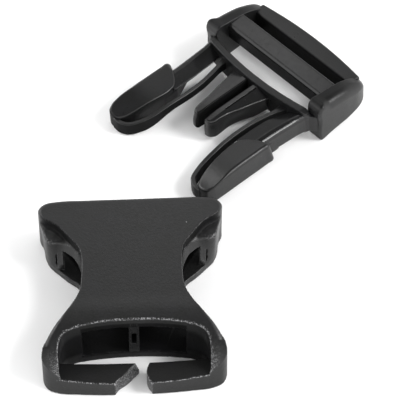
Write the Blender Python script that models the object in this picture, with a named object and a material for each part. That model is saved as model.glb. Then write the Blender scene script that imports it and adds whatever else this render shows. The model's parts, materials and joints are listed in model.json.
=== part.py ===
"""Side-release buckle for 25 mm webbing, its two halves lying apart.

The socket half lies flat with its mouth towards +Y. The prong half lies beyond it, turned, and
leans on its prong tips and on the front edge of its cheeks. Each half is one moulding, modelled as
its working members with a small gap between neighbours. Drawn in millimetres, built in metres.
The world origin is the middle of the socket half's flat underside.
"""
import math

import bmesh
import bpy
from mathutils import Matrix, Vector

MM = 0.001
GAP = 0.3                      # clearance between neighbouring members

# socket half: x across, y from the strap end (0) to the mouth
SOCKET_ORIGIN_Y = 18.0         # the y that becomes the world origin
SOCKET_T = 9.0                 # thickness
PLATE_T = 1.45                 # top and bottom plate
MOUTH_Y = 36.6
MOUTH_X = 16.75                # half width at the mouth
WAIST_X = 8.9                  # half width at the waist
STRAP_X = 16.2                 # half width at the strap end
CAVITY_MOUTH_X = 14.3          # half width of the cavity at the mouth
CAVITY_WAIST_X = 8.2           # half width of the full-height cavity at the shoulder
CAVITY_REAR_X = 9.1            # half width of the rear openings
WINDOW_X = 13.6                # the head windows' outer edge
WINDOW_TOP = 6.1               # the height of their upper edge
RING_TOP = 7.1                 # height of the ring round each head window
SLOT_X = 13.1                  # half width of the strap slot
SLOT_ARC_TOP_Y = 8.4           # the slot's front wall at the middle, at the top
SLOT_ARC_LOW_Y = 6.8           # the same wall at the bottom
SLOT_ARC_DROP = 1.6            # how far the wall curves back at the slot's sides
BAR_Z = 3.0                    # height of the split bar
BAR_FAR_Y = 3.25               # the split bar's edge in the slot
BAR_BOW = 1.45                 # how far the strap edge bows out
POST_X = 0.91                  # half width of the centre post
POST_LENGTH = 18.0

# prong half: u across, v from the strap end (0) to the prong tips
PRONG_YAW = math.radians(-51.2)
PRONG_PLACE = (36.9, 78.3)     # its strap end, in the socket's x and y
PRONG_LENGTH = 40.2
HEAD_REST_V = 39.9             # where the heads' undersides rest on the table
CHEEK_FRONT = 13.06
CHEEK_INNER = 12.95
CHEEK_OUTER = 16.5
CHEEK_TOP = 9.08
PRONG_LOW = 1.72               # the prongs' underside
PRONG_TOP = 7.2
OUTER_BAR_TOP = 6.6
OUTER_BAR_LOW = 1.6
OUTER_BAR_V = 2.95
OUTER_BAR_BOW = 0.9
LOCK_V = (6.0, 10.2)
LOCK_Z = (4.7, 8.3)
CROSSBAR_T = 1.5
CROSSBAR_BOW = 1.4
CROSSBAR_HALF = 13.9
STEM_SECTION = [(10.0, 5.3), (13.0, 6.4), (13.6, 6.1), (13.6, 2.3), (12.6, 2.3), (10.5, 4.1)]
STEM_TAPER = 0.4               # how far the stem leans inwards along its length
FLEX_U = 11.4                  # the prongs' flex axes
HEAD_REAR = 24.4
HEAD_U = 14.7
HEAD_SLOPE = 0.42              # the fall of the head's top towards the inside
STRIP_T = 0.9
STRIP_Z = (2.75, 4.7)
TINE_TIP = 29.6
TINE_GAP = 1.15                # half the gap that takes the centre post
TINE_Z = (1.8, 6.0)

PRONG_PITCH = math.atan2(PRONG_LOW, HEAD_REST_V - CHEEK_FRONT)


def clear_scene():
    for old in list(bpy.data.objects):
        bpy.data.objects.remove(old, do_unlink=True)


def acetal(name, value, roughness):
    material = bpy.data.materials.new(name)
    material.use_nodes = True
    shader = material.node_tree.nodes["Principled BSDF"]
    shader.inputs["Base Color"].default_value = (value, value, value * 1.03, 1.0)
    shader.inputs["Roughness"].default_value = roughness
    shader.inputs["Metallic"].default_value = 0.0
    return material


def curve_through(points, steps):
    """Points along a smooth curve through the given ones (Catmull-Rom)."""
    out = []
    count = len(points)
    for i in range(count - 1):
        p0 = points[max(i - 1, 0)]
        p1 = points[i]
        p2 = points[i + 1]
        p3 = points[min(i + 2, count - 1)]
        for k in range(steps):
            t = k / steps
            out.append(tuple(
                0.5 * (2 * b + (c - a) * t + (2 * a - 5 * b + 4 * c - d) * t * t
                       + (3 * b - a - 3 * c + d) * t ** 3)
                for a, b, c, d in zip(p0, p1, p2, p3)))
    out.append(tuple(points[-1]))
    return out


def mesh_object(name, mesh_bm, material):
    bmesh.ops.recalc_face_normals(mesh_bm, faces=mesh_bm.faces)
    mesh = bpy.data.meshes.new(name)
    mesh_bm.to_mesh(mesh)
    mesh_bm.free()
    obj = bpy.data.objects.new(name, mesh)
    bpy.context.scene.collection.objects.link(obj)
    if material is not None:
        mesh.materials.append(material)
    mesh.shade_smooth()
    mesh.set_sharp_from_angle(angle=math.radians(35))
    return obj


def loft(name, sections, material=None):
    """A closed solid through stacked outlines [(z, [(x, y), ...]), ...] with equal counts."""
    bm = bmesh.new()
    rings = []
    for z, outline in sections:
        rings.append([bm.verts.new((x * MM, y * MM, z * MM)) for x, y in outline])
    count = len(rings[0])
    for low, high in zip(rings, rings[1:]):
        for i in range(count):
            j = (i + 1) % count
            bm.faces.new((low[i], low[j], high[j], high[i]))
    bm.faces.new(list(reversed(rings[0])))
    bm.faces.new(rings[-1])
    return mesh_object(name, bm, material)


def prism(name, outline, z0, z1, material=None):
    return loft(name, [(z0, outline), (z1, outline)], material)


def side_prism(name, profile, u0, u1, material=None):
    """A solid whose (v, z) profile runs across the prong half from u0 to u1."""
    bm = bmesh.new()
    ends = []
    for u in (u0, u1):
        ends.append([bm.verts.new((u * MM, -v * MM, z * MM)) for v, z in profile])
    count = len(profile)
    for i in range(count):
        j = (i + 1) % count
        bm.faces.new((ends[0][i], ends[0][j], ends[1][j], ends[1][i]))
    bm.faces.new(list(reversed(ends[0])))
    bm.faces.new(ends[1])
    return mesh_object(name, bm, material)


def combine(obj, tool, operation):
    tool.hide_render = True
    tool.display_type = "WIRE"
    step = obj.modifiers.new(operation.lower(), "BOOLEAN")
    step.operation = operation
    step.solver = "EXACT"
    step.object = tool


def soften(obj, width, segments=1):
    bevel = obj.modifiers.new("soft_edges", "BEVEL")
    bevel.width = width * MM
    bevel.segments = segments
    bevel.limit_method = "ANGLE"
    bevel.angle_limit = math.radians(35)


def mirrored(right_half):
    """A closed outline from its right half, which runs from the mouth to the strap end."""
    return right_half + [(-x, y) for x, y in reversed(right_half)]


# ---------------------------------------------------------------- socket half

def strap_end_outline():
    """The common stretch of every outline, from the waist round to the strap edge."""
    flare = curve_through([(WAIST_X, 19.0), (9.3, 15.0), (10.5, 12.4), (12.3, 9.8), (14.6, 7.0),
                           (STRAP_X - 0.2, 5.0)], 2)
    corner = [(STRAP_X, 2.6), (15.9, 1.1), (15.0, -0.1), (13.6, -0.6)]
    return flare + corner


def socket_outline(shoulder):
    mouth = [(14.6, MOUTH_Y), (16.2, MOUTH_Y - 0.4), (MOUTH_X, MOUTH_Y - 1.6)]
    return mirrored(mouth + shoulder + strap_end_outline())


def inset(outline, amount):
    """The outline moved inwards by amount, along each point's normal."""
    count = len(outline)
    area = sum(outline[i][0] * outline[(i + 1) % count][1] - outline[(i + 1) % count][0] * outline[i][1]
               for i in range(count))
    side = 1.0 if area > 0 else -1.0
    out = []
    for i in range(count):
        before = Vector(outline[i - 1])
        here = Vector(outline[i])
        after = Vector(outline[(i + 1) % count])
        way = (here - before).normalized() + (after - here).normalized()
        normal = Vector((-way.y, way.x)).normalized() * side
        out.append(tuple(here + normal * amount))
    return out


LIP = [(16.75, 32.5), (16.4, 30.4), (15.7, 28.6), (14.6, 26.9), (12.2, 24.9), (10.0, 23.2), (9.0, 21.6)]
RING = [(16.75, 32.5), (16.3, 30.4), (15.6, 28.7), (14.7, 27.5), (12.9, 27.5), (10.8, 26.4), (9.2, 23.6)]
SCOOP = [(16.5, 33.2), (15.3, 31.9), (13.7, 30.5), (12.2, 28.7), (11.0, 26.9), (10.0, 25.2), (9.2, 23.0)]


def slot_wall(x, middle_y):
    """The bowed front wall of the strap slot."""
    return middle_y - SLOT_ARC_DROP * (x / SLOT_X) ** 2


def slot_outline(middle_y):
    steps = [SLOT_X - 0.05 - k * (2 * SLOT_X - 0.1) / 10 for k in range(11)]
    wall = [(x, slot_wall(x, middle_y)) for x in steps]
    return [(SLOT_X, -4.0)] + wall + [(-SLOT_X, -4.0)]


def socket_shell(material):
    lip = socket_outline(LIP)
    ring = socket_outline(RING)
    scoop = socket_outline(SCOOP)
    shell = loft("socket_shell", [
        (0.0, inset(lip, 0.45)), (0.5, lip), (PLATE_T, lip), (RING_TOP, ring),
        (SOCKET_T - 0.6, scoop), (SOCKET_T, inset(scoop, 0.5))], material)

    # the sloping top of the strap end
    combine(shell, slope_cutter("slope_cutter"), "DIFFERENCE")

    # the strap slot, open at the strap end where the split bar closes it
    slot = loft("slot_cutter", [(-1.0, slot_outline(SLOT_ARC_LOW_Y)),
                                (SOCKET_T + 1.0, slot_outline(SLOT_ARC_TOP_Y))])
    combine(shell, slot, "DIFFERENCE")

    # the cavity from the mouth through to the rear openings, open at the sides of the waist
    cavity_half = [(CAVITY_MOUTH_X, MOUTH_Y + 2), (CAVITY_MOUTH_X, 32.8), (13.0, 31.4),
                   (11.4, 29.3), (9.9, 27.0), (8.9, 25.0), (CAVITY_WAIST_X, 23.0), (CAVITY_WAIST_X, 21.4),
                   (20.0, 21.4), (20.0, 9.8), (CAVITY_REAR_X, 9.8), (CAVITY_REAR_X, 2.0)]
    cavity = prism("cavity_cutter", mirrored(cavity_half), PLATE_T, SOCKET_T - PLATE_T)
    combine(shell, cavity, "DIFFERENCE")
    # both head windows, lower than the cavity so that a ring stays over each
    window_half = [(CAVITY_MOUTH_X - 0.1, 33.5), (CAVITY_MOUTH_X - 0.1, 30.0), (WINDOW_X, 28.6),
                   (WINDOW_X, 20.4)]
    windows = prism("window_cutter", mirrored(window_half), PLATE_T + 0.12, WINDOW_TOP)
    combine(shell, windows, "DIFFERENCE")
    return shell


# the strap end's convex slope, as (y, z), from the strap edge up to the top
SLOPE_LINE = [(-4.0, -2.0), (-0.9, 1.4), (-0.3, 2.5), (0.4, 3.6), (1.5, 4.9), (3.0, 6.3), (4.5, 7.35),
              (6.0, 8.15), (7.6, 8.7), (9.6, SOCKET_T)]


def slope_cutter(name):
    bm = bmesh.new()
    wide = 20.0
    above = SOCKET_T + 3
    profile = SLOPE_LINE + [(SLOPE_LINE[-1][0], above), (SLOPE_LINE[0][0], above)]
    ends = [[bm.verts.new((x * MM, y * MM, z * MM)) for y, z in profile] for x in (-wide, wide)]
    count = len(profile)
    for i in range(count):
        j = (i + 1) % count
        bm.faces.new((ends[0][i], ends[0][j], ends[1][j], ends[1][i]))
    bm.faces.new(list(reversed(ends[0])))
    bm.faces.new(ends[1])
    return mesh_object(name, bm, None)


def centre_post(material):
    front = SLOT_ARC_LOW_Y + 0.6
    low = PLATE_T + GAP
    high = SOCKET_T - PLATE_T - GAP
    outline = [(POST_X, front), (POST_X, front + POST_LENGTH - 1), (0.3, front + POST_LENGTH),
               (-0.3, front + POST_LENGTH), (-POST_X, front + POST_LENGTH - 1), (-POST_X, front)]
    post = prism("centre_post", outline, low, high, material)
    hole = [(0.4, front - 1), (0.4, front + 2.5), (-0.4, front + 2.5), (-0.4, front - 1)]
    combine(post, prism("post_window_cutter", hole, 3.4, 5.4), "DIFFERENCE")
    return post


def near_edge(x):
    """The bowed strap edge."""
    return -BAR_BOW * (1 - (x / SLOT_X) ** 2) - 0.4 * (x / SLOT_X) ** 2


def split_bar(name, side, low_cut, far_cut, material):
    """One finger of the split strap bar, from the side rail to its diagonal end."""
    root = SLOT_X - GAP
    steps = [root - k * (root - low_cut) / 5 for k in range(6)]
    near = [(side * x, near_edge(x)) for x in steps]
    middle = (low_cut + far_cut) / 2
    outline = near + [(side * middle, (near_edge(low_cut) + BAR_FAR_Y) / 2),
                      (side * far_cut, BAR_FAR_Y), (side * root, BAR_FAR_Y)]
    top = inset(outline, 0.35)
    # the root face stays flat against the rail
    top = [(side * root if abs(abs(x) - root) < 0.5 else x, y) for x, y in top]
    pivot = Vector((side * root, (BAR_FAR_Y - BAR_BOW) / 2, BAR_Z))
    bar = loft(name, [(0.0, outline), (BAR_Z - 0.4, outline), (BAR_Z, top)], material)
    bar.data.transform(Matrix.Translation(-pivot * MM))
    bar.location = pivot * MM
    return bar


# ---------------------------------------------------------------- prong half

def uv(points):
    """Plan points (u, v) of the prong half as (x, y) of its own frame."""
    return [(u, -v) for u, v in points]


def flip(points, side):
    return [(side * u, v) for u, v in points]


def cheek(name, side, material):
    """A side plate: full thickness at the front, falling in a curve to the strap end."""
    top = [(CHEEK_FRONT, CHEEK_TOP), (10.5, 9.0), (7.5, 8.65), (4.8, 8.0), (2.4, 7.1), (0.6, 6.0), (-0.5, 4.6)]
    low = [(-0.5, 3.0), (0.8, 1.5), (3.5, 0.6), (8.0, 0.2), (CHEEK_FRONT, 0.0)]
    body = side_prism(name, top + low, side * CHEEK_INNER, side * CHEEK_OUTER, material)
    plan = [(CHEEK_INNER - 1, 14.0), (CHEEK_OUTER, 14.0), (CHEEK_OUTER, 12.6), (16.35, 9.0), (16.25, 5.0),
            (16.0, 2.4), (15.2, 0.6), (13.9, -0.5), (CHEEK_INNER - 1, -0.8)]
    combine(body, prism(name + "_plan", uv(flip(plan, side)), -2.0, 12.0), "INTERSECT")
    soften(body, 0.45)
    return body


def bowed_bar(name, half, inner_v, bow, z0, z1, material):
    """The bar at the strap end: straight inside, bowed outside, with a crowned top."""
    steps = [half - k * half / 4 for k in range(9)]
    outer = [(u, -bow * (1 - (u / half) ** 2)) for u in steps]
    outline = [(-half, inner_v), (half, inner_v)] + outer
    crown = [(u, min(max(v, -bow + 0.6), inner_v - 0.5)) for u, v in outline]
    return loft(name, [(z0, uv(outline)), (z1 - 0.8, uv(outline)), (z1, uv(crown))], material)


def crossbar_arc(u):
    return CHEEK_FRONT + GAP + CROSSBAR_BOW * (1 - (u / CROSSBAR_HALF) ** 2)


def crossbar(material):
    steps = [CROSSBAR_HALF - k * CROSSBAR_HALF / 5 for k in range(11)]
    back = [(u, crossbar_arc(u)) for u in steps]
    front = [(u, crossbar_arc(u) + CROSSBAR_T) for u in reversed(steps)]
    bar = prism("crossbar", uv(back + front), PRONG_LOW, PRONG_TOP, material)
    soften(bar, 0.3)
    return bar


def guide_tine(name, side, material):
    """One tine of the centre guide: tapering, with a round bulb at its end."""
    root = crossbar_arc(3) + CROSSBAR_T + GAP
    outer = curve_through([(4.6, root), (3.7, 19.5), (2.9, 22.5), (2.6, 24.6), (2.9, 26.6),
                           (2.7, 28.3), (1.9, TINE_TIP)], 2)
    outline = outer + [(TINE_GAP, TINE_TIP - 0.5), (TINE_GAP, root)]
    tine = prism(name, uv(flip(outline, side)), TINE_Z[0], TINE_Z[1], material)
    soften(tine, 0.25)
    return tine


def stem(name, side, material):
    """The spring arm: a thick outer edge with a flange sloping down towards the inside."""
    root = crossbar_arc(STEM_SECTION[0][0]) + CROSSBAR_T + GAP
    end = HEAD_REAR - GAP
    bm = bmesh.new()
    rings = []
    for v in (root, (root + end) / 2, end):
        lean = STEM_TAPER * (v - root) / (end - root)
        rings.append([bm.verts.new((side * (u - lean) * MM, -v * MM, z * MM)) for u, z in STEM_SECTION])
    count = len(STEM_SECTION)
    for near, far in zip(rings, rings[1:]):
        for i in range(count):
            j = (i + 1) % count
            bm.faces.new((near[i], near[j], far[j], far[i]))
    bm.faces.new(list(reversed(rings[0])))
    bm.faces.new(rings[-1])
    return mesh_object(name, bm, material)


def head(name, side, material):
    """The catch head: square rear, top sloping down towards the inside, blunt rounded tip."""
    outer = curve_through([(HEAD_U, HEAD_REAR), (HEAD_U, 30.0), (14.7, 35.0), (14.6, 38.0),
                           (14.2, 39.4), (13.1, PRONG_LENGTH - 0.1), (11.6, PRONG_LENGTH)], 2)
    inner = curve_through([(11.6, PRONG_LENGTH), (10.3, 39.4), (9.8, 37.2), (9.6, 34.0), (9.8, 30.5),
                           (10.6, 27.4), (11.8, HEAD_REAR)], 2)
    outline = outer[:-1] + inner
    centre_u, centre_v = 12.2, 32.0

    def shrunk(amount):
        return [(centre_u + (u - centre_u) * (1 - amount / 2.6), centre_v + (v - centre_v) * (1 - amount / 8.0))
                for u, v in outline]

    def top(u, drop):
        return PRONG_TOP - drop - HEAD_SLOPE * (HEAD_U - u)

    rings = [[(u, v, PRONG_LOW) for u, v in shrunk(0.6)],
             [(u, v, PRONG_LOW + 0.8) for u, v in outline],
             [(u, v, top(u, 0.7)) for u, v in outline],
             [(u, v, top(u, 0.1)) for u, v in shrunk(0.5)]]
    bm = bmesh.new()
    rings = [[bm.verts.new((side * u * MM, -v * MM, z * MM)) for u, v, z in ring] for ring in rings]
    count = len(outline)
    for low, high in zip(rings, rings[1:]):
        for i in range(count):
            j = (i + 1) % count
            bm.faces.new((low[i], low[j], high[j], high[i]))
    bm.faces.new(list(reversed(rings[0])))
    bm.faces.new(rings[-1])
    return mesh_object(name, bm, material)


def strip(name, side, material):
    """The thin return strip from the crossbar to the head's tip."""
    root = crossbar_arc(8.3) + CROSSBAR_T + GAP
    middle = curve_through([(8.5, root), (8.3, 20.0), (7.9, 25.0), (7.2, 30.0), (7.1, 34.0),
                            (7.7, 37.0), (8.7, 38.8), (9.4, 39.5)], 3)
    near = []
    far = []
    for i, here in enumerate(middle):
        before = middle[max(i - 1, 0)]
        after = middle[min(i + 1, len(middle) - 1)]
        way = Vector((after[0] - before[0], after[1] - before[1])).normalized()
        across = Vector((-way.y, way.x)) * STRIP_T / 2
        near.append((here[0] + across.x, here[1] + across.y))
        far.append((here[0] - across.x, here[1] - across.y))
    outline = near + list(reversed(far))
    return prism(name, uv(flip(outline, side)), STRIP_Z[0], STRIP_Z[1], material)


def place_prong_half(place, members):
    for member in members:
        member.parent = place


def hinge_parent(name, place, side):
    """An empty on the flex axis of one prong, at the root of its stem."""
    pivot = bpy.data.objects.new(name, None)
    bpy.context.scene.collection.objects.link(pivot)
    root = crossbar_arc(12.5) + CROSSBAR_T + GAP
    pivot.location = Vector((side * FLEX_U, -root, 0.0)) * MM
    pivot.parent = place
    return pivot


def build():
    clear_scene()
    satin = acetal("black_acetal_satin", 0.045, 0.45)
    grained = acetal("black_acetal_grained", 0.04, 0.6)
    polished = acetal("black_acetal_polished", 0.035, 0.3)

    socket = [
        socket_shell(satin),
        centre_post(satin),
        split_bar("split_bar_left", -1, 3.4, -0.2, grained),
        split_bar("split_bar_right", 1, 2.7, 2.4, grained),
    ]
    origin = bpy.data.objects.new("socket_place", None)
    bpy.context.scene.collection.objects.link(origin)
    origin.location = Vector((0.0, -SOCKET_ORIGIN_Y, 0.0)) * MM
    for member in socket:
        member.parent = origin

    place = bpy.data.objects.new("prong_half_place", None)
    bpy.context.scene.collection.objects.link(place)
    lift = CHEEK_FRONT * math.sin(PRONG_PITCH)
    place.location = Vector((PRONG_PLACE[0], PRONG_PLACE[1] - SOCKET_ORIGIN_Y, lift)) * MM
    place.rotation_mode = "XYZ"
    place.rotation_euler = (PRONG_PITCH, 0.0, PRONG_YAW)

    members = [
        cheek("cheek_left", -1, satin),
        cheek("cheek_right", 1, satin),
        bowed_bar("outer_bar", CHEEK_INNER - GAP, OUTER_BAR_V, OUTER_BAR_BOW, OUTER_BAR_LOW,
                  OUTER_BAR_TOP, satin),
        crossbar(satin),
        guide_tine("guide_tine_left", -1, satin),
        guide_tine("guide_tine_right", 1, satin),
    ]
    lock_profile = [(LOCK_V[0], LOCK_Z[1] - 0.2), (LOCK_V[0] + 0.5, LOCK_Z[1]), (LOCK_V[1] - 0.6, LOCK_Z[1]),
                    (LOCK_V[1], LOCK_Z[1] - 0.6), (LOCK_V[1], LOCK_Z[0]), (LOCK_V[0] + 1.2, LOCK_Z[0])]
    members.append(side_prism("locking_bar", lock_profile, GAP - CHEEK_INNER, CHEEK_INNER - GAP, polished))
    place_prong_half(place, members)

    for side, word in ((-1, "left"), (1, "right")):
        pivot = hinge_parent("flex_axis_" + word, place, side)
        for part in (stem("stem_" + word, side, polished), head("head_" + word, side, satin),
                     strip("strip_" + word, side, satin)):
            part.data.transform(Matrix.Translation(-pivot.location))
            for step in part.modifiers:
                if step.type == "BOOLEAN":
                    step.object.parent = pivot
            part.parent = pivot

    # each cutter stays in its member's own frame
    for obj in list(bpy.data.objects):
        for step in obj.modifiers:
            if step.type == "BOOLEAN" and step.object.parent is None:
                step.object.parent = obj.parent


build()
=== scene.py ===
"""Looks of a side-release buckle for 25 mm webbing, its two halves lying apart.

Each member is meshed from a signed distance field, so that every edge and inner corner has the small
radius of a moulding. Shapes are drawn in millimetres: the socket half in its own frame (x across,
y from the strap end to the mouth, z up) and the prong half in its own (u across, v from the strap
end to the prong tips, z up).
"""
import json
import math

import bpy
import numpy as np
from mathutils import Matrix, Vector


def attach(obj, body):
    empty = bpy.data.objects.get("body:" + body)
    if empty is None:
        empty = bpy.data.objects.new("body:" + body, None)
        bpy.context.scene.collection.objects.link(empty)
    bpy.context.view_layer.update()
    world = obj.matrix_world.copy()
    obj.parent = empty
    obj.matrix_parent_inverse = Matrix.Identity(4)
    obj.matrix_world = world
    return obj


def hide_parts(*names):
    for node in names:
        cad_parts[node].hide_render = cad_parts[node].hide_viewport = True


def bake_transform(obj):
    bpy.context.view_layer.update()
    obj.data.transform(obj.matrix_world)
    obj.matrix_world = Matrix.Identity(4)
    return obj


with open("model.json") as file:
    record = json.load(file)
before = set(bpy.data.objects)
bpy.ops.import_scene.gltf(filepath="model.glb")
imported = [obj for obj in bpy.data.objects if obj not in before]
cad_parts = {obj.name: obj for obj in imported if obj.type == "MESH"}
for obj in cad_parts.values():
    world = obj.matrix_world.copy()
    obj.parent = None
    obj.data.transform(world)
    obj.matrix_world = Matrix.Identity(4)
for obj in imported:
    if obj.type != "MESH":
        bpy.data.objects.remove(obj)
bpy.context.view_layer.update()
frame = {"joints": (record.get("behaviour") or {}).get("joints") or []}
MM = 0.001                    # one millimetre in metres

# ---------------------------------------------------------------- distance fields


def spline(points, steps=6, closed=False):
    """A smooth curve through the points, with tangents weighted by the distances between them."""
    p = [np.array(q, float) for q in points]
    if closed:
        p = [p[-1]] + p + [p[0], p[1]]
    else:
        p = [2 * p[0] - p[1]] + p + [2 * p[-1] - p[-2]]
    out = []
    for a, b, c, d in zip(p, p[1:], p[2:], p[3:]):
        ab = max(np.linalg.norm(b - a), 1e-6)
        bc = max(np.linalg.norm(c - b), 1e-6)
        cd = max(np.linalg.norm(d - c), 1e-6)
        m1 = ((b - a) / ab * bc + (c - b) / bc * ab) / (ab + bc) * bc
        m2 = ((c - b) / bc * cd + (d - c) / cd * bc) / (bc + cd) * bc
        for k in range(steps):
            t = k / steps
            out.append((2 * t ** 3 - 3 * t * t + 1) * b + (t ** 3 - 2 * t * t + t) * m1
                       + (3 * t * t - 2 * t ** 3) * c + (t ** 3 - t * t) * m2)
    if not closed:
        out.append(p[-2])
    return out


def mirrored(right_half):
    """A closed outline from its right half."""
    right_half = [tuple(q) for q in right_half]
    return right_half + [(-x, y) for x, y in reversed(right_half)]


class Plan:
    """The signed distance in a plane to a closed outline, read smoothly from a table of it."""

    def __init__(self, outline, step=0.2, pad=3.0):
        corners = np.array([tuple(q) for q in outline], float)
        self.step = step
        self.low = corners.min(0) - pad
        size = np.ceil((corners.max(0) + pad - self.low) / step).astype(int) + 3
        gx = self.low[0] + step * np.arange(size[0])[:, None]
        gy = self.low[1] + step * np.arange(size[1])[None, :]
        nearest = np.full((size[0], size[1]), 1e9)
        inside = np.zeros((size[0], size[1]), bool)
        for a, b in zip(corners, np.roll(corners, -1, axis=0)):
            way = b - a
            length = way @ way
            if length < 1e-12:
                continue
            t = np.clip(((gx - a[0]) * way[0] + (gy - a[1]) * way[1]) / length, 0, 1)
            nearest = np.minimum(nearest, (gx - a[0] - t * way[0]) ** 2 + (gy - a[1] - t * way[1]) ** 2)
            if a[1] != b[1]:
                spans = (gy >= a[1]) != (gy >= b[1])
                inside ^= spans & (gx < a[0] + (gy - a[1]) / (b[1] - a[1]) * way[0])
        self.table = np.sqrt(nearest) * np.where(inside, -1.0, 1.0)

    def __call__(self, x, y):
        sx = np.clip((x - self.low[0]) / self.step, 1, self.table.shape[0] - 3.001)
        sy = np.clip((y - self.low[1]) / self.step, 1, self.table.shape[1] - 3.001)
        i = np.floor(sx).astype(int)
        j = np.floor(sy).astype(int)
        across = self.weights(sx - i)
        along = self.weights(sy - j)
        total = 0.0
        for a in range(4):
            row = 0.0
            for b in range(4):
                row = row + along[b] * self.table[i + a - 1, j + b - 1]
            total = total + across[a] * row
        return total

    @staticmethod
    def weights(t):
        """The four weights of a cubic B-spline."""
        return ((1 - t) ** 3 / 6, (3 * t ** 3 - 6 * t * t + 4) / 6,
                (-3 * t ** 3 + 3 * t * t + 3 * t + 1) / 6, t ** 3 / 6)


def both(a, b, radius):
    """Where both are inside, with the edge between them rounded."""
    return (np.minimum(np.maximum(a, b), -radius)
            + np.sqrt(np.maximum(a + radius, 0) ** 2 + np.maximum(b + radius, 0) ** 2))


def cut(a, b, radius):
    """a without b, with a rounded rim."""
    return both(a, -b, radius)


def merge(a, b, width):
    """The smooth minimum. The width may vary from point to point."""
    h = np.clip(0.5 + 0.5 * (b - a) / width, 0, 1)
    return b + (a - b) * h - width * h * (1 - h)


def slab(value, low, high):
    """Where the value is between two limits."""
    return np.maximum(low - value, value - high)


def ramp(value, start, end):
    """0 before start, 1 after end, smooth between them."""
    t = np.clip((value - start) / (end - start), 0, 1)
    return t * t * (3 - 2 * t)


def fade(value, start, end):
    """1 before start, 0 after end, smooth between them."""
    return ramp(-value, -end, -start)


def slope_of(field, p, reach=0.05):
    """The field's gradient at each point, from four nearby values."""
    total = np.zeros_like(p)
    for corner in ((1, -1, -1), (-1, -1, 1), (-1, 1, -1), (1, 1, 1)):
        k = np.array(corner, float)
        q = p + k * reach
        total += field(q[:, 0], q[:, 1], q[:, 2])[:, None] * k
    return total / (4 * reach)


def settle(field, p, step, rounds):
    """The points moved onto the surface."""
    for _ in range(rounds):
        slope = slope_of(field, p)
        value = field(p[:, 0], p[:, 1], p[:, 2])[:, None]
        move = value * slope / np.maximum((slope ** 2).sum(1, keepdims=True), 0.05)
        reach = np.linalg.norm(move, axis=1, keepdims=True)
        p = p - move * np.minimum(1.0, 0.6 * step / np.maximum(reach, 1e-9))
    return p


def net(field, box, step):
    """Points and quads of the surface inside a box, by naive surface nets."""
    axes = [np.arange(low, high + step, step) for low, high in box]
    shape = tuple(len(a) for a in axes)
    values = np.broadcast_to(field(axes[0][:, None, None], axes[1][None, :, None],
                                   axes[2][None, None, :]), shape)
    inside = values < 0
    cells = tuple(n - 1 for n in shape)
    count = np.zeros(cells, int)
    for a in (0, 1):
        for b in (0, 1):
            for c in (0, 1):
                count += inside[a:a + cells[0], b:b + cells[1], c:c + cells[2]]
    mixed = (count > 0) & (count < 8)
    ids = np.full(cells, -1)
    ids[mixed] = np.arange(mixed.sum())
    total = np.zeros((mixed.sum(), 3))
    hits = np.zeros(mixed.sum())
    quads = []
    for axis in range(3):
        first = [slice(None)] * 3
        second = [slice(None)] * 3
        first[axis] = slice(0, -1)
        second[axis] = slice(1, None)
        here = inside[tuple(first)]
        crossing = here != inside[tuple(second)]
        at = np.argwhere(crossing)
        v0 = values[tuple(first)][crossing]
        v1 = values[tuple(second)][crossing]
        point = at.astype(float)
        point[:, axis] += v0 / (v0 - v1)
        b = (axis + 1) % 3
        c = (axis + 2) % 3
        ring = []
        for db, dc in ((-1, -1), (0, -1), (0, 0), (-1, 0)):
            cell = at.copy()
            cell[:, b] += db
            cell[:, c] += dc
            fits = ((cell >= 0) & (cell < np.array(cells))).all(1)
            found = np.full(len(at), -1)
            found[fits] = ids[tuple(cell[fits].T)]
            ring.append(found)
            use = found >= 0
            for k in range(3):
                total[:, k] += np.bincount(found[use], point[use, k], len(total))
            hits += np.bincount(found[use], minlength=len(total))
        ring = np.stack(ring, 1)
        whole = (ring >= 0).all(1)
        out = here[crossing]
        quads.append(ring[whole & out])
        quads.append(ring[whole & ~out][:, ::-1])
    points = total / np.maximum(hits, 1)[:, None] * step + np.array([low for low, high in box])
    return points, np.concatenate(quads)


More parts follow.
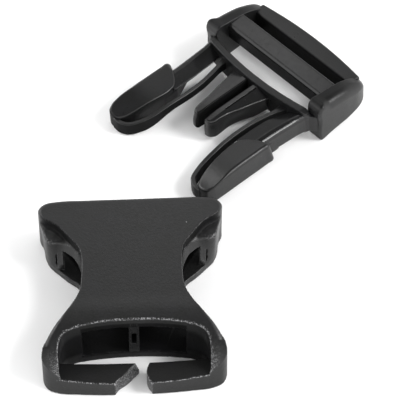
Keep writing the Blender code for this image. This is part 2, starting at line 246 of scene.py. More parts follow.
def piece(name, field, box, step, place, material, keep, painted_shade, marks=None):
    """A named mesh of the field's surface inside a box, with the field's own normals.

    The mesh is thinned to a share, keep, of its faces. Of the two functions at the end, the first
    gives a painted shade at each point, which weakens the reflections where shade would fall, and
    the second, marks, when given, gives the "rim" mark of worn speckles and painted highlights.
    """
    points, quads = net(field, box, step)
    points = settle(field, points, step, 4)
    if place.determinant() < 0:
        quads = quads[:, ::-1]
    mesh = bpy.data.meshes.new(name)
    mesh.vertices.add(len(points))
    mesh.vertices.foreach_set("co", points.astype(np.float32).ravel())
    mesh.loops.add(len(quads) * 4)
    mesh.loops.foreach_set("vertex_index", quads.astype(np.int32).ravel())
    mesh.polygons.add(len(quads))
    mesh.polygons.foreach_set("loop_start", np.arange(0, len(quads) * 4, 4, dtype=np.int32))
    mesh.update(calc_edges=True)
    obj = bpy.data.objects.new(name, mesh)
    bpy.context.scene.collection.objects.link(obj)
    thin = obj.modifiers.new("thin", "DECIMATE")
    thin.ratio = keep
    thin.use_collapse_triangulate = True
    graph = bpy.context.evaluated_depsgraph_get()
    thinned = bpy.data.meshes.new_from_object(obj.evaluated_get(graph))
    obj.modifiers.clear()
    obj.data = thinned
    bpy.data.meshes.remove(mesh)
    thinned.name = name
    points = np.empty(len(thinned.vertices) * 3, np.float32)
    thinned.vertices.foreach_get("co", points)
    points = points.reshape(-1, 3).astype(float)
    points = settle(field, points, step, 2)
    normals = slope_of(field, points, 0.04)
    normals /= np.maximum(np.linalg.norm(normals, axis=1, keepdims=True), 1e-9)
    # the rim mark: worn speckles and painted highlights on the edges
    if marks is not None:
        attribute = thinned.attributes.new("rim", "FLOAT", "POINT")
        attribute.data.foreach_set("value", marks(field, points, normals).astype(np.float32))
    # the painted shade mark, which the material reads to weaken its reflections
    attribute = thinned.attributes.new("painted_shade", "FLOAT", "POINT")
    attribute.data.foreach_set("value", painted_shade(points, normals).astype(np.float32))
    turn = np.array(place.to_3x3())
    world = points @ turn.T * MM + np.array(place.translation)
    thinned.vertices.foreach_set("co", world.astype(np.float32).ravel())
    thinned.update()
    thinned.shade_smooth()
    thinned.normals_split_custom_set_from_vertices([tuple(n) for n in normals @ turn.T])
    thinned.materials.append(material)
    return obj


def sharpness(field, p, reach=0.14):
    """How strongly the surface bends outwards at each point."""
    total = -6 * field(p[:, 0], p[:, 1], p[:, 2])
    for axis in range(3):
        for way in (-reach, reach):
            q = p.copy()
            q[:, axis] += way
            total = total + field(q[:, 0], q[:, 1], q[:, 2])
    return total / reach ** 2


# ---------------------------------------------------------------- places

SOCKET_T = 9.0                # the socket half's height
STRAP_TO_ORIGIN = 18.0        # from its strap end to the shared origin
PIN_V = 15.428                # the flex joints' place in the prong half's own frame
PIN_Z = 4.5

socket_place = Matrix.Translation((0.0, -STRAP_TO_ORIGIN * MM, 0.0))

# the prong half's own frame, from its two flex joints
joints = {j["name"]: j for j in frame["joints"]}
left_pin = Vector(joints["prong_left_flex"]["pos_m"])
right_pin = Vector(joints["prong_right_flex"]["pos_m"])
across = (right_pin - left_pin).normalized()
upwards = Vector(joints["prong_left_flex"]["axis"]).normalized()
along = across.cross(upwards)
prong_turn = Matrix((across, along, upwards)).transposed()
prong_origin = (left_pin + right_pin) / 2 - (along * PIN_V + upwards * PIN_Z) * MM
prong_place = Matrix.Translation(prong_origin) @ prong_turn.to_4x4()


def on_side(side, near, far):
    """A span across a half, given for its right side."""
    return (near, far) if side > 0 else (-far, -near)


# ---------------------------------------------------------------- materials

BLACK = 0.006                 # the plastic's base colour
SHEEN = 0.38                  # specular level of open faces, and where the painted shade is full
PAINTED_SHADE_SHEEN = 0.02
CLOUD_SIZE = 4.0              # of the slow change of tint, in millimetres
SPECK_SIZE = 0.24             # of the speckles, partly wear and partly painted highlights
DUST_SPACING = 3.4            # between the places where a grain of dust may lie
DUST_COLOUR = 0.5


def acetal(name, roughness, grain_size, grain_depth, rim_colour, sparkle=0.5, dust=0.0):
    """Moulded black plastic with a fine grain.

    Speckles of rim_colour, partly wear and partly painted highlights on the edges, show where the
    "rim" mark is high, and more of them with more sparkle. Reflections are weaker where the painted
    shade mark is high: painted shade in hollows, between parts and on some faces. Dust is the
    strength of a few scattered pale grains.
    """
    material = bpy.data.materials.new(name)
    material.use_nodes = True
    nodes = material.node_tree.nodes
    links = material.node_tree.links
    shader = nodes["Principled BSDF"]
    place = nodes.new("ShaderNodeTexCoord")

    def noise(size, detail):
        texture = nodes.new("ShaderNodeTexNoise")
        texture.inputs["Scale"].default_value = 1.0 / (size * MM)
        texture.inputs["Detail"].default_value = detail
        links.new(place.outputs["Object"], texture.inputs["Vector"])
        return texture.outputs["Fac"]

    def remap(value, a, b, c, d):
        node = nodes.new("ShaderNodeMapRange")
        for socket, number in zip(("From Min", "From Max", "To Min", "To Max"), (a, b, c, d)):
            node.inputs[socket].default_value = number
        links.new(value, node.inputs["Value"])
        return node.outputs["Result"]

    def product(a, b):
        node = nodes.new("ShaderNodeMath")
        node.operation = "MULTIPLY"
        links.new(a, node.inputs[0])
        links.new(b, node.inputs[1])
        return node.outputs["Value"]

    def mark(attribute):
        node = nodes.new("ShaderNodeAttribute")
        node.attribute_name = attribute
        return node.outputs["Fac"]

    def tinted(base, factor, value):
        mix = nodes.new("ShaderNodeMix")
        mix.data_type = "RGBA"
        mix.inputs["B"].default_value = (value, value, value * 1.02, 1)
        links.new(base, mix.inputs["A"])
        links.new(factor, mix.inputs["Factor"])
        return mix.outputs["Result"]

    cloud = noise(CLOUD_SIZE, 3.0)
    grain = noise(grain_size, 2.0)
    tint = nodes.new("ShaderNodeMix")
    tint.data_type = "RGBA"
    tint.inputs["A"].default_value = (BLACK * 0.86, BLACK * 0.88, BLACK * 0.84, 1)
    tint.inputs["B"].default_value = (BLACK * 1.10, BLACK * 1.10, BLACK * 1.18, 1)
    links.new(remap(cloud, 0.3, 0.7, 0.0, 1.0), tint.inputs["Factor"])
    rough = remap(grain, 0.25, 0.75, roughness - 0.06, roughness + 0.06)
    speck = remap(noise(SPECK_SIZE, 1.5), 0.53 - 0.1 * sparkle, 0.62, 0.0, 1.0)
    # worn speckles and painted highlights: a paler colour on the marked edges
    base = tinted(tint.outputs["Result"], product(mark("rim"), speck), rim_colour)
    if dust > 0:
        cells = nodes.new("ShaderNodeTexVoronoi")
        cells.inputs["Scale"].default_value = 1.0 / (DUST_SPACING * MM)
        links.new(place.outputs["Object"], cells.inputs["Vector"])
        parts = nodes.new("ShaderNodeSeparateXYZ")
        links.new(cells.outputs["Color"], parts.inputs["Vector"])
        near = remap(cells.outputs["Distance"], 0.045, 0.03, 0.0, 1.0)
        rare = remap(parts.outputs["X"], 0.62, 0.95, 0.0, dust)
        base = tinted(base, product(near, rare), DUST_COLOUR)
    links.new(base, shader.inputs["Base Color"])
    links.new(rough, shader.inputs["Roughness"])
    # painted shade: the specular level drops where the painted shade mark is high
    links.new(remap(mark("painted_shade"), 0.0, 1.0, SHEEN, PAINTED_SHADE_SHEEN), shader.inputs["Specular IOR Level"])
    bump = nodes.new("ShaderNodeBump")
    bump.inputs["Strength"].default_value = 1.0
    bump.inputs["Distance"].default_value = grain_depth * MM
    links.new(grain, bump.inputs["Height"])
    links.new(bump.outputs["Normal"], shader.inputs["Normal"])
    return material


SHELL = acetal("acetal_satin_grained", roughness=0.40, grain_size=0.42, grain_depth=0.03,
               rim_colour=0.22, dust=0.4)
# more speckles on the split bar's edges: wear and painted highlights
FINGER = acetal("acetal_worn_and_highlit", roughness=0.45, grain_size=0.36, grain_depth=0.04,
                rim_colour=0.26, sparkle=0.8, dust=0.4)
SATIN = acetal("acetal_satin", roughness=0.33, grain_size=0.6, grain_depth=0.012, rim_colour=0.12)
POLISHED = acetal("acetal_polished", roughness=0.22, grain_size=0.7, grain_depth=0.006, rim_colour=0.12)


# Each of these two returns a function that gives the painted shade mark from the points and their normals:
# painted shade that dims the reflections where shade would fall.

def shade_faces_along(axis, start, end, amount, least=0.0):
    """Painted shade on the faces that look along an axis."""
    return lambda p, normals: np.maximum(least, amount * ramp(normals[:, axis], start, end))


def shade_inner_faces(side, amount, least=0.0):
    """Painted shade on the faces that look towards the middle."""
    return lambda p, normals: np.maximum(least, amount * fade(side * normals[:, 0], -0.3, 0.1))


# ---------------------------------------------------------------- socket half

PLATE = 1.45                  # thickness of the top and bottom plates
RING_TOP = 7.1                # height of the shoulder round the head windows
FOOT_EDGE = 0.25              # radius round the underside

# right halves of the outer form's outlines: mouth, side and strap end
MOUTH = [(0.0, 36.6), (8.0, 36.6), (13.2, 36.5), (15.3, 36.1), (16.25, 35.4)]
STRAP_END = [(8.9, 19.0), (9.25, 15.3), (10.5, 12.4), (12.25, 9.8), (14.2, 7.2), (15.4, 5.2), (15.95, 3.2),
             (15.85, 1.6), (15.1, 0.25), (13.6, -0.5), (10.0, -0.98), (5.0, -1.32), (0.0, -1.42)]
LIP = [(16.4, 34.7), (16.15, 33.4), (15.85, 31.6), (15.55, 29.6), (14.9, 27.9), (13.4, 26.15),
       (11.6, 24.2), (9.65, 22.4), (9.0, 20.9)]
RING = [(16.6, 34.7), (16.5, 33.7), (16.25, 32.1), (15.75, 30.4), (15.5, 29.0), (15.1, 28.2),
        (14.3, 27.85), (13.1, 27.85), (12.0, 27.75), (10.95, 27.1), (9.95, 26.2), (9.3, 24.6), (9.0, 22.6)]
SCOOP = [(16.66, 34.7), (16.5, 33.4), (15.5, 31.9), (14.07, 31.0), (12.65, 29.65), (11.55, 28.15),
         (10.5, 26.7), (9.5, 25.2), (9.0, 23.4), (8.85, 21.4)]

lip_plan = Plan(mirrored(spline(MOUTH + LIP + STRAP_END)))        # below the windows
ring_plan = Plan(mirrored(spline(MOUTH + RING + STRAP_END)))      # at the shoulder
scoop_plan = Plan(mirrored(spline(MOUTH + SCOOP + STRAP_END)))    # the top plate

# the strap slot at the top and at the bottom, open towards the strap
SLOT_TOP = [(0.0, 8.46), (4.0, 8.3), (8.0, 7.75), (11.2, 6.9), (12.5, 6.1), (13.1, 4.9), (13.1, 1.5),
            (13.0, 0.7), (12.65, 0.1), (12.0, -0.3), (11.2, -0.6), (10.5, -1.1), (10.2, -1.7), (10.2, -4.0)]
SLOT_LOW = [(0.0, 6.85), (4.0, 6.72), (8.0, 6.3), (10.2, 5.85), (11.9, 4.9), (12.8, 3.4), (13.0, 1.5),
            (12.9, 0.7), (12.6, 0.1), (12.0, -0.35), (11.2, -0.7), (10.5, -1.2), (10.2, -1.8), (10.2, -4.0)]
slot_top = Plan(mirrored(spline(SLOT_TOP)))
slot_low = Plan(mirrored(spline(SLOT_LOW)))

CAVITY = [(0.0, 40.0), (14.3, 40.0), (14.3, 32.8), (13.3, 31.4), (11.6, 29.3), (10.2, 27.0), (9.2, 25.0),
          (8.2, 23.0), (8.2, 21.0), (20.0, 21.0), (20.0, 9.8), (9.09, 9.8), (9.09, 2.0), (0.0, 2.0)]
cavity_plan = Plan(mirrored(CAVITY))
REAR_TOP = 6.85               # the rear openings' upper edge
WINDOW_X = (8.6, 13.55)       # the head windows, from the middle outwards
WINDOW_Y = (18.0, 33.0)
WINDOW_TOP = 5.3
RIB_X = (12.2, 13.4)          # the catch rib inside each head window
RIB_Y = 26.2
RIB_LEAN = 0.07

# the top's outline seen from the side, with the convex slope of the strap end
SLOPE_LINE = [(60.0, 9.0), (14.0, 9.0), (9.6, 8.98), (7.6, 8.7), (6.0, 8.15), (4.5, 7.35), (3.0, 6.3),
              (1.5, 4.9), (0.4, 3.6), (-0.3, 2.5), (-0.9, 1.4), (-1.6, 0.0), (-3.0, -3.0)]
slope_plan = Plan(spline(SLOPE_LINE) + [(60.0, -3.0)])


def front_lean(x, y, z):
    """How far the strap edge moves back at a height, more so towards the sides."""
    return (0.17 + 0.5 * (x / 11.2) ** 2) * np.clip(z / 3.0, 0, 1.6) * fade(y, 0.0, 4.0)


def strap_slot(x, y, z):
    t = np.clip(z / SOCKET_T, 0, 1)
    low = slot_low(x, y)
    return low + (slot_top(x, y) - low) * t


def socket_body(x, y, z):
    """The socket half's outer form, with no openings yet: a housing and the top plate over it."""
    back = y - front_lean(x, y, z)
    lip = lip_plan(x, back)
    ring = ring_plan(x, back)
    scoop = scoop_plan(x, back)
    shoulder = scoop - ring
    wall = lip + (ring - lip) * np.clip((z - PLATE) / (RING_TOP - PLATE), 0, 1)
    floor = RING_TOP + 0.1 * np.clip(-ring, 0, 3)
    floor_edge = 0.1 + 0.45 * np.clip(shoulder / 0.6, 0, 1) * fade(y, 28.0, 30.5)
    housing = both(wall, z - floor, floor_edge)
    top = slope_plan(y, z)
    top_edge = 0.12 + 0.98 * ramp(y, 32.0, 35.0) + 1.08 * fade(y, 5.0, 12.0)
    plate = both(scoop, top, top_edge)
    cove = 0.02 + 0.8 * np.clip(shoulder / 1.2, 0, 1)
    body = np.maximum(merge(housing, plate, cove), top)
    return both(body, -z, FOOT_EDGE)


def socket_field(x, y, z):
    width = np.abs(x)
    inner = ramp(y, 9.5, 12.0)
    roof = REAR_TOP + (SOCKET_T - PLATE - REAR_TOP) * inner
    cavity = both(cavity_plan(x, y), np.maximum(PLATE - z, z - roof), 0.3)
    window = both(both(width - WINDOW_X[1], slab(z, PLATE, WINDOW_TOP), 0.9), slab(y, *WINDOW_Y), 0.3)
    window = np.maximum(window, WINDOW_X[0] - width)
    rib = np.maximum(slab(width - RIB_LEAN * (y - RIB_Y), *RIB_X), RIB_Y - y)
    body = cut(socket_body(x, y, z), strap_slot(x, y, z), 0.16)
    body = cut(body, cavity, 0.03 + 0.09 * inner)
    return cut(body, cut(window, rib, 0.1), 0.15)


def post_field(x, y, z):
    """The rib between the rear openings, with a frame line and a small hole in its strap end."""
    width = np.abs(x)
    slot = strap_slot(x, y, z)
    post = np.maximum(width - 0.91, slab(z, PLATE - 0.3, SOCKET_T - PLATE + 0.3))
    post = both(post, y - 24.6, 0.3)
    post = cut(post, slot, 0.1)
    groove = np.maximum(np.maximum(width - 0.62, slab(z, 1.9, 7.0)), slot - 0.14)
    post = cut(post, groove, 0.03)
    hole = np.maximum(np.maximum(width - 0.42, slab(z, 3.05, 5.25)), y - 9.8)
    return cut(post, hole, 0.05)


BAR_TOP = 3.0
BAR_END = 13.6                # the fingers reach this far into the side rails

# the edge of each finger at the slanted split
SPLIT_LEFT = [(0.7, 4.6), (0.15, 3.3), (-0.85, 2.1), (-2.1, 0.5), (-3.1, -0.4), (-3.55, -1.5), (-3.7, -3.0)]
SPLIT_RIGHT = [(2.8, 4.6), (2.5, 3.3), (2.05, 2.0), (2.0, 0.7), (2.25, -0.3), (2.8, -1.2), (3.0, -3.0)]


def bar_far(x):
    """The split bar's edge in the slot, bowed a little towards the strap in the middle."""
    return 3.28 + 0.3 * (x / 10.6) ** 2


def finger_field(side):
    """A finger of the split bar. The left one's end also leans under."""
    split = SPLIT_LEFT if side < 0 else SPLIT_RIGHT
    lean = 0.35 if side < 0 else 0.0
    end_plan = Plan([tuple(q) for q in spline(split, 4)] + [(side * 14.5, -3.0), (side * 14.5, 4.6)])

    def field(x, y, z):
        bar = both(lip_plan(x, y - front_lean(x, y, z)), y - bar_far(x), 0.15)
        reach = lean * np.clip(BAR_TOP - z, 0, 1.8) * ramp(y, -2.0, 2.5)
        bar = both(bar, end_plan(x - reach, y), 0.14)
        bar = both(bar, z - BAR_TOP, 0.1)
        bar = both(bar, -z, FOOT_EDGE)
        return np.maximum(bar, np.abs(x) - BAR_END)
    return field


def worn_and_highlit_edges(field, p):
    # speckles on sharp outer edges: wear, and painted highlights where the edges would catch the light
    return np.clip((sharpness(field, p) - 0.9) / 2.4, 0, 1)


def socket_marks(field, p, normals):
    """Speckles, partly wear and partly painted highlights, on the slot's upper edge, the bar's sides, and
    the window rings and lips.
    """
    x, y, z = p.T
    width = np.abs(x)
    slot = strap_slot(x, y, z)
    slot_rim = fade(np.abs(slot), 0.12, 0.45) * fade(np.abs(slope_plan(y, z)), 0.2, 0.5) * ramp(z, 2.5, 3.2)
    bar_side = fade(slot, 0.3, 2.0) * fade(y, 1.0, 4.5) * (z > 2.6) * (slot > 0) * (normals[:, 2] > 0.3)
    outside = ramp(socket_body(x, y, z), -0.35, -0.12)
    window = ((0.2 + 0.8 * ramp(z, 6.2, 6.9)) * ramp(width, 8.6, 9.4) * fade(width, 14.8, 15.8)
              * ramp(y, 19.5, 21.5) * fade(y, 28.5, 31.0) * fade(z, 7.4, 7.9) * outside)
    lip = window * fade(z, 1.4, 1.9) * (normals[:, 2] < 0.7)
    edges = worn_and_highlit_edges(field, p) * (0.9 * slot_rim + 0.7 * window + 0.05)
    return np.clip(np.maximum(edges, np.maximum(0.5 * bar_side, 0.3 * lip)), 0, 1)


def socket_painted_shade(p, normals):
    """Painted shade deep inside the outer form, in the cavity, and in the cove between plate and shoulder.
    """
    x, y, z = p.T
    depth = -socket_body(x, y, z)
    inside = 0.35 * ramp(depth, 0.05, 0.5) + 0.65 * ramp(depth, 1.4, 2.4)
    cavity = (fade(cavity_plan(x, y), 0.04, 0.12) * ramp(z, 0.9, 1.3) * fade(z, 7.6, 8.0)
              * ramp(depth, 0.1, 0.6))
    cove = (0.95 * ramp(z, 6.95, 7.3) * (z < 8.995) * ramp(y, 21.0, 23.5) * fade(y, 32.0, 34.0)
            * fade(normals[:, 2], 0.93, 0.99) * fade(scoop_plan(x, y), 0.8, 1.6))
    return np.clip(np.maximum(np.maximum(inside, cavity), cove), 0, 1)


def post_painted_shade(p, normals):
    # painted shade over the whole rib, more of it further in from its strap end
    return 0.3 + 0.4 * ramp(p[:, 1], 7.0, 8.5)


def finger_marks(field, p, normals):
    """Speckles on the upper strap-side edge, partly wear and partly painted highlights, and a rough face at
    the split.
    """
    x, y, z = p.T
    split = (np.abs(normals[:, 0]) > 0.35) * (np.abs(x) < 6) * (normals[:, 2] < 0.8)
    rim = worn_and_highlit_edges(field, p) * fade(y, 0.2, 1.2) * ramp(z, 2.3, 2.8)
    return np.clip(np.maximum(rim, 0.4 * split), 0, 1)


shell = piece("socket_shell_skin", socket_field, ((-17.3, 17.3), (-2.3, 37.3), (-0.6, 9.6)), 0.27,
              socket_place, SHELL, 0.45, socket_painted_shade, socket_marks)
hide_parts("socket_shell")
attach(shell, "socket_half")

post = piece("centre_post_skin", post_field, ((-1.3, 1.3), (5.8, 25.2), (0.8, 8.2)), 0.16,
             socket_place, SHELL, 0.35, post_painted_shade)
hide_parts("centre_post")
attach(post, "socket_half")

for side, word, reach in ((-1, "left", (-14.0, 1.6)), (1, "right", (1.2, 14.0))):
    # painted shade on the fingers' upward faces
    finger = piece(f"split_bar_{word}_skin", finger_field(side), (reach, (-2.3, 3.9), (-0.5, 3.6)), 0.19,
                   socket_place, FINGER, 1.0, shade_faces_along(2, 0.6, 0.9, 0.45), finger_marks)
    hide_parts(f"split_bar_{word}")
    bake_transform(finger)

# ---------------------------------------------------------------- prong half: strap end

CHEEK_INNER = 12.95           # half the inside width between the cheeks
PRONG_LOW = 1.72              # underside and top of the crossbar and the heads
PRONG_TOP = 7.2

# a cheek from its side (v, z), and its outer face from above (u, v)
CHEEK_SIDE = [(12.0, 0.0), (12.98, 0.12), (13.06, 0.8), (13.06, 4.5), (13.06, 8.55), (12.75, 8.9),
              (10.5, 8.88), (7.5, 8.6), (4.8, 8.1), (2.4, 7.15), (0.6, 5.95), (-0.35, 4.7), (-0.4, 3.3),
              (0.6, 1.7), (3.5, 0.7), (8.0, 0.2)]
CHEEK_FACE = [(16.4, 15.5), (16.4, 12.6), (16.35, 9.0), (16.2, 5.0), (15.9, 2.5), (15.15, 0.6), (13.9, -0.5)]
cheek_profile = Plan(spline(CHEEK_SIDE, 4, closed=True))
cheek_plan = Plan(spline(CHEEK_FACE) + [(10.0, -0.9), (10.0, 15.5)])


def cheek_field(side):
    """A side plate whose edges are rounder at its top, and crisper at both ends."""
    def field(u, v, z):
        edge = 0.9 + 1.0 * ramp(z, 3.0, 6.5)
        edge = edge * (1 - 0.55 * fade(v, 0.0, 4.0)) * (1 - 0.65 * ramp(v, 10.0, 12.6))
        body = both(cheek_profile(v, z), cheek_plan(side * u, v), edge)
        return both(body, CHEEK_INNER - side * u, 0.18)
    return field


def outer_bar_field(u, v, z):
    bow = 0.12 - 0.92 * (1 - (u / CHEEK_INNER) ** 2)
    body = both(np.maximum(v - 2.95, bow - v), slab(z, 1.6, 6.6), 0.5)
    return np.maximum(body, np.abs(u) - 13.6)


lock_profile = Plan([(6.0, 8.0), (6.25, 8.3), (9.7, 8.25), (10.2, 7.8), (10.2, 4.7), (7.2, 4.7), (6.0, 6.4)])


def locking_bar_field(u, v, z):
    return np.maximum(lock_profile(v, z) - 0.02, np.abs(u) - 13.4)


def lock_painted_shade(p, normals):
    # painted shade on the locking bar's faces below its top that do not look upwards
    return 0.75 * fade(p[:, 2], 7.6, 8.2) * (normals[:, 2] < 0.6)


# the foot that widens the crossbar's end towards the cheek
foot_plan = Plan([(12.9, 12.8), (15.6, 12.8), (15.2, 13.35), (14.2, 14.1), (13.75, 15.2), (13.0, 15.6)], 0.1)


def crossbar_field(u, v, z):
    side = np.abs(u)
    back = 13.36 + 1.4 * (1 - (u / 13.9) ** 2)
    body = both(slab(v, back, back + 1.5), slab(z, PRONG_LOW, PRONG_TOP), 0.22)
    end = np.maximum(side - 13.8, z + 0.55 * (side - 13.8) - 6.9)
    foot = both(foot_plan(side, v), slab(z, 2.0, 6.0), 0.35)
    return merge(both(body, end, 0.5), foot, 0.7)


def crossbar_painted_shade(p, normals):
    # painted shade on the crossbar between the cheeks, more on its side faces than on its top
    return (0.3 + 0.5 * fade(normals[:, 2], 0.4, 0.8)) * (np.abs(p[:, 0]) < 12.9)


# ---------------------------------------------------------------- prong half: guide and prongs


def tine_plan(outer):
    return Plan([tuple(q) for q in spline(outer)] + [(0.8, 29.0), (0.8, 15.3)])


tine_top = tine_plan([(5.3, 15.3), (5.0, 16.7), (4.4, 19.0), (3.8, 21.8), (3.15, 24.4), (2.85, 26.6),
                      (2.6, 28.2), (1.9, 29.0), (1.3, 29.1)])
tine_low = tine_plan([(5.0, 15.3), (4.7, 16.6), (4.3, 19.2), (3.1, 22.8), (2.85, 25.0), (3.0, 27.0),
                      (3.0, 28.2), (2.3, 29.2), (1.3, 29.4)])


def tine_field(side):
    """One tine of the guide: straight along its top, with a bulb at its end lower down.

    The right one has a fine groove along its top.
    """
    def field(u, v, z):
        a = side * u
        low = tine_low(a, v)
        plan = low + (tine_top(a, v) - low) * ramp(z, 3.2, 6.0)
        top = 6.6 - 0.3 * np.maximum(a - 2.0, 0) - 0.3 * ramp(v, 25.0, 30.0)
        body = both(plan, np.maximum(2.1 - z, z - top), 0.26 + 0.2 * ramp(v, 26.5, 29.0))
        if side > 0:
            groove = np.maximum(np.abs(a - 2.0) - 0.15, slab(v, 16.5, 24.5))
            body = cut(body, np.maximum(groove, 6.2 - z), 0.05)
        return body
    return field


stem_section = Plan([(9.9, 5.3), (12.5, 6.42), (13.05, 6.38), (13.45, 6.1), (13.68, 5.6), (13.7, 2.3),
                     (12.6, 2.3), (10.5, 4.1)], 0.15)


def stem_field(side):
    """The spring arm: a thick outer edge with a flange that slopes down and widens towards the head."""
    def field(u, v, z):
        a = side * u + 0.5 * ramp(v, 14.0, 25.0) - 0.35 * fade(v, 13.5, 17.0)
        inner = ramp(v, 15.5, 21.5) * np.clip(13.0 - a, 0, 4)
        return both(stem_section(a + 0.12 * inner, z - 0.2 * inner) - 0.05, slab(v, 13.8, 28.0), 0.1)
    return field


HEAD = [(13.4, 24.9), (14.35, 24.6), (14.72, 24.9), (14.8, 26.5), (14.8, 31.0), (14.8, 35.0), (14.8, 37.5),
        (14.7, 39.0), (14.15, 40.1), (12.9, 40.5), (11.7, 40.2), (10.9, 39.1), (10.3, 37.2), (9.75, 34.3),
        (9.35, 31.5), (9.2, 29.2), (9.6, 27.6), (10.5, 26.6), (12.0, 25.6)]
head_plan = Plan(spline(HEAD, 4, closed=True))
web_plan = Plan([(13.3, 21.0), (13.3, 29.0), (9.3, 30.0), (9.4, 27.0), (10.2, 25.4), (11.4, 23.0),
                 (12.4, 21.4)])


def head_field(side):
    """The catch head: flat on top with a slanted rear edge that leans, and a web below into the stem."""
    def field(u, v, z):
        a = side * u
        back = v + 0.22 * (7.0 - z) * fade(v, 27.0, 30.0)
        top = PRONG_TOP - 0.16 * (14.7 - a) - 1.5 * ramp(v, 30.0, 41.0) ** 2
        edge = 0.28 + 0.6 * ramp(a, 12.2, 14.2) * fade(v, 33.0, 37.5) + 0.2 * ramp(v, 38.0, 40.0)
        body = both(both(head_plan(a, back), PRONG_LOW - z, 0.5), z - top, edge)
        web = both(web_plan(a, v), slab(z, PRONG_LOW, 5.0), 0.3)
        return merge(body, web, 0.4)
    return field


STRIP = [(8.6, 14.9), (8.3, 16.8), (7.75, 19.4), (7.3, 22.0), (7.1, 25.0), (7.15, 28.0), (7.4, 31.5),
         (7.75, 34.8), (8.4, 37.4), (9.5, 39.5), (10.9, 40.2), (12.6, 40.2)]
STRIP_Z = (3.6, 5.45)
STRIP_HALF = 0.45             # half its thickness


def ribbon(points, half):
    """The outline of a band along a path."""
    path = np.array(points)
    way = np.gradient(path, axis=0)
    way /= np.linalg.norm(way, axis=1, keepdims=True)
    aside = np.stack([-way[:, 1], way[:, 0]], 1) * half
    return np.concatenate([path + aside, (path - aside)[::-1]])


def strip_field(side):
    """The thin return strip, thicker at its root and lower towards the tip."""
    plan = Plan(ribbon(spline(STRIP), STRIP_HALF), 0.12)

    def field(u, v, z):
        grow = 0.4 * fade(v, 15.0, 18.0)
        near_tip = ramp(v, 29.0, 37.0)
        height = slab(z + 0.7 * near_tip, STRIP_Z[0] - 1.0 * near_tip, STRIP_Z[1])
        return both(plan(side * u, v) - grow, height, 0.2)
    return field


def strip_painted_shade(p, normals):
    # painted shade on the strips' upright faces
    return 0.95 * fade(np.abs(normals[:, 2]), 0.3, 0.6)


def prong_piece(name, field, box, step, material, keep, painted_shade, body="prong_half", bend=None):
    """A member of the prong half, attached to the body. Given bend, its place is baked into its mesh and it
    is attached to nothing; the points of bend are not read.
    """
    obj = piece(f"{name}_skin", field, box, step, prong_place, material, keep, painted_shade)
    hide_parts(name)
    if bend is None:
        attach(obj, body)
    else:
        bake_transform(obj)


# painted shade on the outer bar's face towards the locking bar
prong_piece("outer_bar", outer_bar_field, ((-14.2, 14.2), (-1.5, 3.5), (1.0, 7.2)), 0.22,
            SATIN, 0.8, shade_faces_along(1, 0.3, 0.8, 1.0))
prong_piece("locking_bar", locking_bar_field, ((-13.8, 13.8), (5.5, 10.7), (4.2, 8.8)), 0.2,
            POLISHED, 1.0, lock_painted_shade)
prong_piece("crossbar", crossbar_field, ((-16.2, 16.2), (12.1, 17.0), (1.2, 7.7)), 0.2,
            SATIN, 1.0, crossbar_painted_shade)
for side, word in ((-1, "left"), (1, "right")):
    # painted shade on the cheeks' upward faces
    prong_piece(f"cheek_{word}", cheek_field(side),
                (on_side(side, 12.5, 17.0), (-1.2, 13.6), (-0.5, 9.6)), 0.2,
                SATIN, 0.5, shade_faces_along(2, 0.3, 0.8, 0.55))
    # painted shade on the tines' inner faces
    prong_piece(f"guide_tine_{word}", tine_field(side),
                (on_side(side, 0.6, 5.9), (14.8, 30.8), (1.6, 7.5)), 0.16,
                POLISHED, 0.5, shade_inner_faces(side, 1.0))
    # painted shade on the stems' inner faces, and all over the left stem
    prong_piece(f"stem_{word}", stem_field(side),
                (on_side(side, 8.0, 15.0), (13.3, 28.5), (1.8, 7.0)), 0.16,
                POLISHED, 0.5, shade_inner_faces(side, 0.7, 0.2 - 0.2 * side),
                f"prong_{word}", ((side * 11.4, 14.0, 4.5), (side * 11.4, 18.5, 4.5)))
    # painted shade on the heads' faces towards the tips, and a little all over
    prong_piece(f"head_{word}", head_field(side),
                (on_side(side, 8.9, 15.3), (20.5, 41.0), (1.2, 7.7)), 0.2,
                SATIN, 0.5, shade_faces_along(1, 0.5, 0.8, 0.9, 0.12), f"prong_{word}")
    prong_piece(f"strip_{word}", strip_field(side),
                (on_side(side, 6.2, 13.4), (13.9, 41.4), (1.4, 6.0)), 0.15,
                SATIN, 0.6, strip_painted_shade,
                f"prong_{word}", ((side * 8.6, 15.0, 3.7), (side * 8.2, 22.0, 3.7)))

# ---------------------------------------------------------------- floor

FLOOR_HALF = 3.0
FLOOR_DROP = 0.00002          # keeps the floor clear of the undersides

floor_white = bpy.data.materials.new("floor_white")
floor_white.use_nodes = True
floor_shader = floor_white.node_tree.nodes["Principled BSDF"]
floor_shader.inputs["Base Color"].default_value = (0.93, 0.93, 0.93, 1)
floor_shader.inputs["Roughness"].default_value = 0.9
floor_shader.inputs["Specular IOR Level"].default_value = 0.1

floor_mesh = bpy.data.meshes.new("floor")
floor_mesh.from_pydata([(-FLOOR_HALF, -FLOOR_HALF, 0), (FLOOR_HALF, -FLOOR_HALF, 0),
                        (FLOOR_HALF, FLOOR_HALF, 0), (-FLOOR_HALF, FLOOR_HALF, 0)], [], [(0, 1, 2, 3)])
floor_mesh.materials.append(floor_white)
floor = bpy.data.objects.new("floor", floor_mesh)
floor.location.z = -FLOOR_DROP
bpy.context.scene.collection.objects.link(floor)

# ---------------------------------------------------------------- light


def lamp(name, place, target, size, power):
    data = bpy.data.lights.new(name, "AREA")
    data.shape = "SQUARE"
    data.size = size
    data.energy = power
    obj = bpy.data.objects.new(name, data)
    obj.location = place
    obj.rotation_euler = (Vector(target) - Vector(place)).to_track_quat("-Z", "Y").to_euler()
    bpy.context.scene.collection.objects.link(obj)


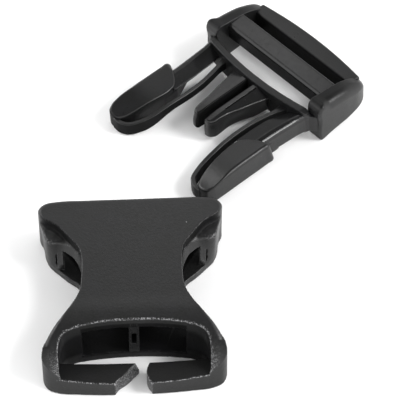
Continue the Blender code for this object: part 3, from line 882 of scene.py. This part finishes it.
MIDDLE = (0.012, 0.026, 0.0)  # of the two halves
lamp("softbox_right", (0.75, -0.12, 0.62), MIDDLE, 0.34, 7.0)
lamp("softbox_left", (-0.65, 0.55, 0.6), MIDDLE, 0.3, 3.0)
lamp("lamp_behind", (0.01, 0.15, 0.145), (0.0, 0.015, 0.0), 0.06, 0.02)

# brightness of the surroundings, from straight down to straight up
SKY = ((0.0, 1.0), (0.5, 0.95), (0.62, 0.65), (0.74, 0.2), (0.86, 0.09), (1.0, 0.08))
SKY_STRENGTH = 2.5


def studio_world():
    """White surroundings that are bright up to the horizon, and dim overhead and behind."""
    world = bpy.data.worlds.new("studio")
    world.use_nodes = True
    nodes = world.node_tree.nodes
    links = world.node_tree.links
    place = nodes.new("ShaderNodeTexCoord")
    parts = nodes.new("ShaderNodeSeparateXYZ")
    links.new(place.outputs["Generated"], parts.inputs["Vector"])
    sky = nodes.new("ShaderNodeValToRGB")
    stops = sky.color_ramp.elements
    while len(stops) < len(SKY):
        stops.new(0.5)
    for stop, (height, value) in zip(stops, SKY):
        stop.position = height
        stop.color = (value, value, value, 1)
    links.new(parts.outputs["Z"], sky.inputs["Fac"])
    behind = nodes.new("ShaderNodeMapRange")
    for socket, number in zip(("From Min", "From Max", "To Min", "To Max"), (0.55, 0.85, 1.0, 0.4)):
        behind.inputs[socket].default_value = number
    links.new(parts.outputs["Y"], behind.inputs["Value"])
    dimmed = nodes.new("ShaderNodeVectorMath")
    dimmed.operation = "SCALE"
    links.new(sky.outputs["Color"], dimmed.inputs["Vector"])
    links.new(behind.outputs["Result"], dimmed.inputs["Scale"])
    links.new(dimmed.outputs["Vector"], nodes["Background"].inputs["Color"])
    nodes["Background"].inputs["Strength"].default_value = SKY_STRENGTH
    return world


bpy.context.scene.world = studio_world()
bpy.context.scene.view_settings.view_transform = "Standard"

# ---------------------------------------------------------------- camera

AZIMUTH = math.radians(-2.66)
ELEVATION = math.radians(48.14)
ROLL = math.radians(0.077)
DISTANCE = 0.390709
LOOK_AT = Vector((0.013098, 0.025286, 0))

back = Vector((math.sin(AZIMUTH) * math.cos(ELEVATION), -math.cos(AZIMUTH) * math.cos(ELEVATION),
               math.sin(ELEVATION)))
level = Vector((math.cos(AZIMUTH), math.sin(AZIMUTH), 0))
rise = back.cross(level)
right = math.cos(ROLL) * level + math.sin(ROLL) * rise
up = math.cos(ROLL) * rise - math.sin(ROLL) * level
camera_data = bpy.data.cameras.new("camera")
camera_data.sensor_width = 36.0
camera_data.lens = 187.99
camera_data.clip_start = 0.01
camera = bpy.data.objects.new("camera", camera_data)
spot = LOOK_AT + back * DISTANCE
camera.matrix_world = Matrix.Translation(spot) @ Matrix((right, up, back)).transposed().to_4x4()
bpy.context.scene.collection.objects.link(camera)
bpy.context.scene.camera = camera
